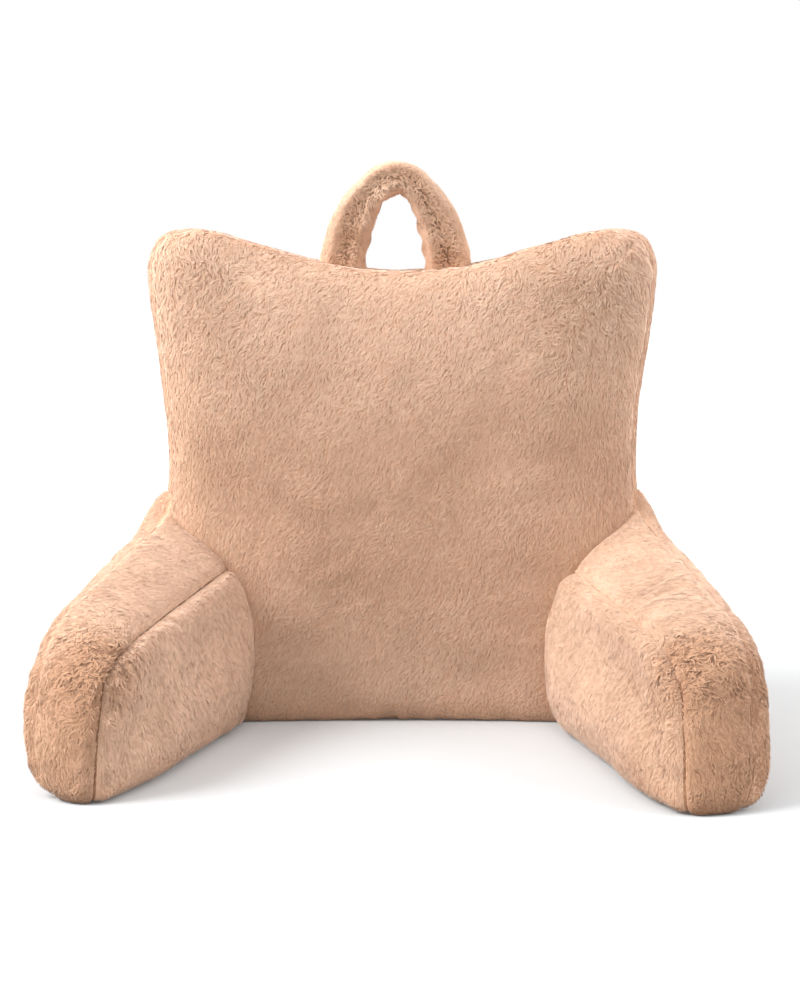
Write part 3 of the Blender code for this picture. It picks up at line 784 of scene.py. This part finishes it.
def locks(skin, keep, comb, count, seed, curved, width, clump):
    """Corners, normals and UVs of locks of pile: straight ones of one face, or curved ones of three."""
    rng = np.random.default_rng(seed)
    p, n, seam, away = sample(skin, keep, count, rng)
    hub = sample(skin, keep, max(count // clump, 8), rng)[0]
    whose = nearest(p, hub)
    look = comb(p, n, seam, away)
    mess = look.mess

    # the way each lock leans, and its size
    lean = unit(look.flow - n * dot(look.flow, n))
    wander = swells(p, 0.035, 7) * (0.07 + 0.75 * mess) + swells(p, 0.013, 8) * (0.06 + 0.65 * mess)
    hub_turn = rng.normal(0, 1, (len(hub), 1))[whose] * (0.07 + 0.60 * mess)
    turn = wander + hub_turn + rng.normal(0, 1, (count, 1)) * (0.13 + 0.18 * mess)
    lean = lean * np.cos(turn) + np.cross(n, lean) * np.sin(turn)
    side = np.cross(n, lean)
    pinch = 1 - 0.62 * np.exp(-((seam / PINCH) ** 1.5))
    stretch = rng.uniform(0.75, 1.25, (count, 1)) * (0.85 + 0.3 * rng.uniform(0, 1, (len(hub), 1))[whose])
    towards_seam = np.maximum(-dot(lean, away), 0.08)
    length = np.minimum(look.length * stretch * (0.45 + 0.55 * pinch), seam / towards_seam + OVERLAP)
    length = length * np.clip(p[:, 2:] / 0.04, 0.3, 1)
    height = look.height * pinch * rng.uniform(0.88, 1.08, (count, 1))
    pull = hub[whose] - p
    pull = (pull - n * dot(pull, n)) * (0.12 + 0.50 * mess)
    roll = rng.normal(0, 0.22, (count, 1)) * (1 + mess)
    half = width / 2 * rng.uniform(0.7, 1.3, (count, 1)) * (1 + (0.9 if curved else 0.3) * mess)
    # Lighter right beside a seam: a painted highlight on the pile's rims there.
    tone = look.tone + 0.08 * bell(seam, 0.004)
    tone = tone + rng.normal(0, 0.035, (len(hub), 1))[whose] + rng.normal(0, 0.05, (count, 1))
    tone = np.clip(tone + 0.04 * swells(p, 0.06, 9), 0.03, 0.97)
    layer = rng.uniform(0, 1, (count, 1)) ** 0.45
    sway = rng.normal(0, 1, (count, 1)) * (0.06 + 0.28 * mess) * length

    if curved:  # up from the cloth, then along it
        root = p - n * 0.0004
        height = height * (0.66 + 0.34 * np.clip(mess / 0.4, 0, 1))
        tip = p + lean * length + n * height * (0.55 + 0.45 * layer) * (0.85 + 0.15 * mess) + pull
        mid = p + lean * length * 0.38 + n * height * (0.60 + 0.40 * layer) + pull * 0.4 + side * sway
    else:  # a hair in its layer of the pile
        rise = height * (0.22 + 0.30 * mess)
        root = p + n * (height - rise) * layer
        tip = root + lean * length + n * rise + pull
        mid = root
    flat = side * np.cos(roll) + n * np.sin(roll)
    geometric = unit(np.cross(flat, tip - mid))
    facing = np.sign(dot(geometric, n))  # a lock shows its face, as its normals say
    flat, geometric = flat * facing, geometric * facing
    across = flat * half
    if curved:
        corners = np.stack([root - across * 0.8, root + across * 0.8, mid - across, mid + across, tip], 1)
        climb = np.array((0.02, 0.02, 0.50, 0.50, 0.98))
    else:
        corners = np.stack([root - across, root + across, tip], 1)
        climb = np.array((0.25, 0.25, 0.98))
    corners = over_floor(corners, FLOOR_GAP)

    lit = unit(n * (0.88 - 0.25 * mess) + geometric * (0.12 + 0.25 * mess) + side * rng.normal(0, 0.05, (count, 1)))
    normals = np.repeat(lit[:, None], len(climb), axis=1)
    normals[:, -1] = unit(lit + lean * (0.10 + 0.15 * mess))
    offset = np.where(np.arange(len(climb)) % 2 == 0, -1.0, 1.0) * 0.006
    offset[-1] = 0
    uv = np.stack([tone + offset[None], np.broadcast_to(climb, (count, len(climb)))], -1)
    return corners, normals, uv


def pile(name, parts):
    """One piece of the locks of a panel: parts are what locks() gave."""
    points, normals, uvs, faces = [], [], [], []
    base = 0
    for corners, lit, uv in parts:
        count, width = corners.shape[:2]
        start = base + np.arange(count)[:, None] * width
        shape = np.array([(0, 1, 2)] if width == 3 else [(0, 1, 3), (0, 3, 2), (2, 3, 4)])
        faces.append((start[:, None] + shape[None]).reshape(-1, 3))
        points.append((corners + SHIFT).reshape(-1, 3))
        normals.append(lit.reshape(-1, 3))
        uvs.append(uv.reshape(-1, 2))
        base += count * width
    points, normals, uvs, faces = (np.concatenate(x) for x in (points, normals, uvs, faces))
    mesh = bpy.data.meshes.new(name)
    mesh.vertices.add(len(points))
    mesh.vertices.foreach_set("co", points.astype(np.float32).ravel())
    mesh.loops.add(faces.size)
    mesh.loops.foreach_set("vertex_index", faces.astype(np.int32).ravel())
    mesh.polygons.add(len(faces))
    mesh.polygons.foreach_set("loop_start", np.arange(0, faces.size, 3, dtype=np.int32))
    mesh.update(calc_edges=True)
    layer = mesh.uv_layers.new(name="OFBake")
    layer.data.foreach_set("uv", uvs[faces.ravel()].astype(np.float32).ravel())
    mesh.shade_smooth()
    mesh.normals_split_custom_set_from_vertices(normals.astype(np.float32))
    mesh.materials.append(PILE_STUFF)
    piece = placed(name, mesh)
    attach(piece, "root")
    return piece


def beside(skin, trees, edge):
    """A panel whose seams include the lines where it meets other forms, and 1 where it shows, 0 inside them."""
    keep, seam, away = np.ones(skin.points.shape[:2] + (1,)), skin.seam, skin.away
    for tree in trees:
        far, way = outside(skin.points, tree)
        keep = keep * np.clip(far / edge + 0.1, 0, 1)
        nearer = far < seam
        seam, away = np.where(nearer, np.maximum(far, 0), seam), np.where(nearer, way, away)
    return skin._replace(seam=seam, away=away), keep


def strands(name, skin, trees, comb, triangles, seed, share=0.25, broad=CURVED, edge=0.002, seams=True):
    """The pile of a panel: straight fine hair under curved locks, which take that share of the triangles.

    Without seams, skin.seam is a fold."""
    sewn, keep = beside(skin, trees, edge)
    skin = sewn if seams else skin
    curved = int(triangles * share / 3)
    straight = int(triangles * (1 - share))
    parts = [
        locks(skin, keep, comb, straight, seed, False, STRAIGHT, STRAIGHT_CLUMP),
        locks(skin, keep, comb, curved, seed + 1, True, broad, CURVED_CLUMP),
    ]
    pile(name, parts)


# ------ materials
SHEEN_TINT = (1.0, 0.93, 0.87, 1.0)


def srgb(r, g, b):
    """A colour of 0 to 255 a channel, as the shader takes it."""
    found = [c / 255 for c in (r, g, b)]
    return tuple(c / 12.92 if c <= 0.04045 else ((c + 0.055) / 1.055) ** 2.4 for c in found) + (1.0,)


def set_sockets(node, sockets):
    """Gives each named input of a node a value, or a link from an output."""
    for name, value in sockets.items():
        if isinstance(value, bpy.types.NodeSocket):
            node.id_data.links.new(value, node.inputs[name])
        else:
            node.inputs[name].default_value = value


def add_node(tree, kind, sockets=None, **settings):
    """The outputs of a new node."""
    node = tree.nodes.new("ShaderNode" + kind)
    for name, value in settings.items():
        setattr(node, name, value)
    set_sockets(node, sockets or {})
    return node.outputs


def ramp(tree, factor, stops):
    node = tree.nodes.new("ShaderNodeValToRGB")
    elements = node.color_ramp.elements
    while len(elements) < len(stops):
        elements.new(0.5)
    for element, (place, colour) in zip(elements, stops):
        element.position, element.color = place, colour
    tree.links.new(factor, node.inputs[0])
    return node.outputs[0]


def plush_shader(name):
    material = bpy.data.materials.new(name)
    material.use_nodes = True
    shader = material.node_tree.nodes["Principled BSDF"]
    looks = {"Specular IOR Level": 0.25, "Sheen Weight": 0.4, "Sheen Roughness": 0.45, "Sheen Tint": SHEEN_TINT}
    set_sockets(shader, looks)
    return material, material.node_tree, shader


def pile_material(name, dark, light):
    """Pile, by its UV map: how light a lock is runs along U, and from its root to its tip runs along V."""
    material, tree, shader = plush_shader(name)
    place = add_node(tree, "UVMap", uv_map="OFBake")["UV"]
    apart = add_node(tree, "SeparateXYZ", {"Vector": place})
    along = add_node(tree, "Mapping", {"Vector": place, "Scale": (420, 5, 1)})[0]
    hairs = add_node(tree, "TexNoise", {"Vector": along, "Scale": 1.0, "Detail": 2.0})["Fac"]
    tones = {"Factor": apart["X"], "A": ramp(tree, apart["Y"], dark), "B": ramp(tree, apart["Y"], light)}
    blend = add_node(tree, "Mix", tones, data_type="RGBA")["Result"]
    streak = ramp(tree, hairs, ((0.30, (0.94, 0.93, 0.92, 1)), (0.70, (1.03, 1.03, 1.03, 1))))
    layers = {"Factor": 1.0, "A": blend, "B": streak}
    colour = add_node(tree, "Mix", layers, data_type="RGBA", blend_type="MULTIPLY")["Result"]
    rough = add_node(tree, "MapRange", {"Value": hairs, "To Min": 0.80, "To Max": 0.96})[0]
    set_sockets(shader, {"Base Color": colour, "Roughness": rough})
    return material


def cloth_material(name, dark, light):
    """The foot of the pile, which shows between the locks: short streaks and tufts."""
    material, tree, shader = plush_shader(name)
    place = add_node(tree, "TexCoord")["Object"]
    slant = {"Vector": place, "Scale": (520, 520, 190), "Rotation": (0, math.radians(35), 0)}
    along = add_node(tree, "Mapping", slant)[0]
    streaks = add_node(tree, "TexNoise", {"Vector": along, "Scale": 1.0, "Detail": 3.0})["Fac"]
    patches = add_node(tree, "TexNoise", {"Vector": place, "Scale": 45.0, "Detail": 2.0})["Fac"]
    both = add_node(tree, "Math", {0: patches, 1: 0.35, 2: streaks}, operation="MULTIPLY_ADD")[0]
    colour = ramp(tree, both, ((0.45, dark), (0.90, light)))
    rough = add_node(tree, "MapRange", {"Value": streaks, "To Min": 0.82, "To Max": 0.97})[0]
    bump = add_node(tree, "Bump", {"Height": streaks, "Strength": 0.6, "Distance": 0.0015})[0]
    set_sockets(shader, {"Base Color": colour, "Roughness": rough, "Normal": bump})
    return material


# ------ making
# Each lock darkens from tip to root, which paints the shade deep in the pile; along U it takes the painted light and
# shade of its comb.
PILE_STUFF = pile_material(
    "plush_pile",
    ((0.0, srgb(150, 104, 74)), (0.55, srgb(190, 144, 112)), (1.0, srgb(215, 172, 141))),
    ((0.0, srgb(232, 189, 158)), (0.55, srgb(246, 209, 181)), (1.0, srgb(252, 224, 200))),
)
CLOTH_STUFF = cloth_material("plush_cloth", srgb(214, 168, 135), srgb(244, 203, 172))
# darker cloth for the grooves of the seams, which paints the shade that falls there
SEAM_SHADE_STUFF = cloth_material("plush_seam_shade", srgb(158, 114, 84), srgb(196, 151, 119))

back_tree, front_skin, rear_skin, band_skin = make_back()
arms = {name: (arm, *make_arm(name, arm, back_tree)) for name, arm in (("arm_right", RIGHT), ("arm_left", LEFT))}
loop_skin = make_loop()

arm_trees = [made[1] for made in arms.values()]
strands("backrest_front_pile", front_skin, arm_trees, comb_front, 180000, 101)
strands("backrest_rear_pile", rear_skin, [], comb_rear, 105000, 103)
strands("boxing_band_pile", band_skin, arm_trees, comb_band, 95000, 105)
for name, (arm, _, inner, outer, strip) in arms.items():
    sides, top, near = comb_arm(arm), comb_strip(arm), [back_tree]
    strands(f"{name}_inner_pile", inner, near, sides, 66000, 107 + arm.side, share=0.16, edge=0.003)
    strands(f"{name}_outer_pile", outer, near, sides, 62000, 117 + arm.side, edge=0.003)
    name, seed = f"{name}_strip_pile", 127 + arm.side
    strands(name, strip, near, top, 84000, seed, share=0.34, broad=0.0011, edge=0.003)
near = [back_tree]
strands("carry_loop_pile", loop_skin, near, comb_loop, 60000, 131, share=0.7, broad=0.0012, seams=False)

# ------ studio
FLOOR_LIT = (0.36, 0.355, 0.35, 1)  # what the floor throws back on the pillow
FLOOR_SEEN = (0.575, 0.59, 0.60, 1)
WHITE = (1, 1, 1, 1)

floor = new_mesh("studio_floor", [(-30, -6, 0), (30, -6, 0), (30, 60, 0), (-30, 60, 0)], [(0, 1, 2, 3)])
stuff = bpy.data.materials.new("studio_floor")
stuff.use_nodes = True
tree = stuff.node_tree
shader = tree.nodes["Principled BSDF"]
seen = add_node(tree, "LightPath")["Is Camera Ray"]
pale = add_node(tree, "Mix", {"Factor": seen, "A": FLOOR_LIT, "B": FLOOR_SEEN}, data_type="RGBA")["Result"]
set_sockets(shader, {"Base Color": pale, "Roughness": 0.8})
# the floor glows more and more away from the pillow, so that it ends in white
spot = add_node(tree, "NewGeometry")["Position"]
far = add_node(tree, "VectorMath", {0: spot}, operation="LENGTH")["Value"]
rise = {"Value": far, "From Min": 0.40, "From Max": 1.7, "To Min": 0.06, "To Max": 1.0}
strength = add_node(tree, "MapRange", rise, interpolation_type="SMOOTHSTEP")[0]
glow, unlit = (add_node(tree, "Emission", {"Strength": power})[0] for power in (strength, 0.0))
chosen = add_node(tree, "MixShader", {0: seen, 1: unlit, 2: glow})[0]
surface = add_node(tree, "AddShader", {0: shader.outputs[0], 1: chosen})[0]
set_sockets(tree.nodes["Material Output"], {"Surface": surface})
floor.data.materials.append(stuff)

world = bpy.data.worlds.new("studio")
bpy.context.scene.world = world
world.use_nodes = True
tree = world.node_tree
sky = tree.nodes["Background"]
height = add_node(tree, "SeparateXYZ", {"Vector": add_node(tree, "TexCoord")["Generated"]})["Z"]
climb = {"Value": height, "To Min": 0.19, "To Max": 1.30}
set_sockets(sky, {"Color": WHITE, "Strength": add_node(tree, "MapRange", climb)[0]})
plain = add_node(tree, "Background", {"Color": WHITE})[0]
seen = add_node(tree, "LightPath")["Is Camera Ray"]
chosen = add_node(tree, "MixShader", {0: seen, 1: sky.outputs[0], 2: plain})[0]
set_sockets(tree.nodes["World Output"], {"Surface": chosen})
bpy.context.scene.view_settings.view_transform = "Standard"


def area_light(name, place, target, size, energy):
    light = bpy.data.lights.new(name, "AREA")
    light.shape = "DISK"
    light.size = size
    light.energy = energy
    lamp = placed(name, light)
    lamp.location = place
    lamp.rotation_euler = (Vector(target) - Vector(place)).to_track_quat("-Z", "Y").to_euler()


area_light("key", (-2.15, -0.50, 1.85), (0, -0.05, 0.2), size=2.0, energy=114)
area_light("rim", (2.2, 0.9, 1.2), (0, 0.1, 0.25), size=1.6, energy=22)
area_light("side", (2.3, -0.5, 1.3), (0, -0.05, 0.2), size=1.4, energy=22)

IMAGE_HEIGHT = 1000
HORIZON = 298  # row of the image at the camera's height
FOCAL = 2058  # focal length in pixels
SENSOR = 36
EYE = (-0.0025, -2.1, 0.43)

lens = bpy.data.cameras.new("camera")
lens.sensor_width = SENSOR
lens.lens = FOCAL / IMAGE_HEIGHT * SENSOR
camera = placed("camera", lens)
camera.location = SHIFT + EYE
camera.rotation_euler = (math.pi / 2 - math.atan((IMAGE_HEIGHT / 2 - HORIZON) / FOCAL), 0, 0)
bpy.context.scene.camera = camera

bpy.context.view_layer.update()
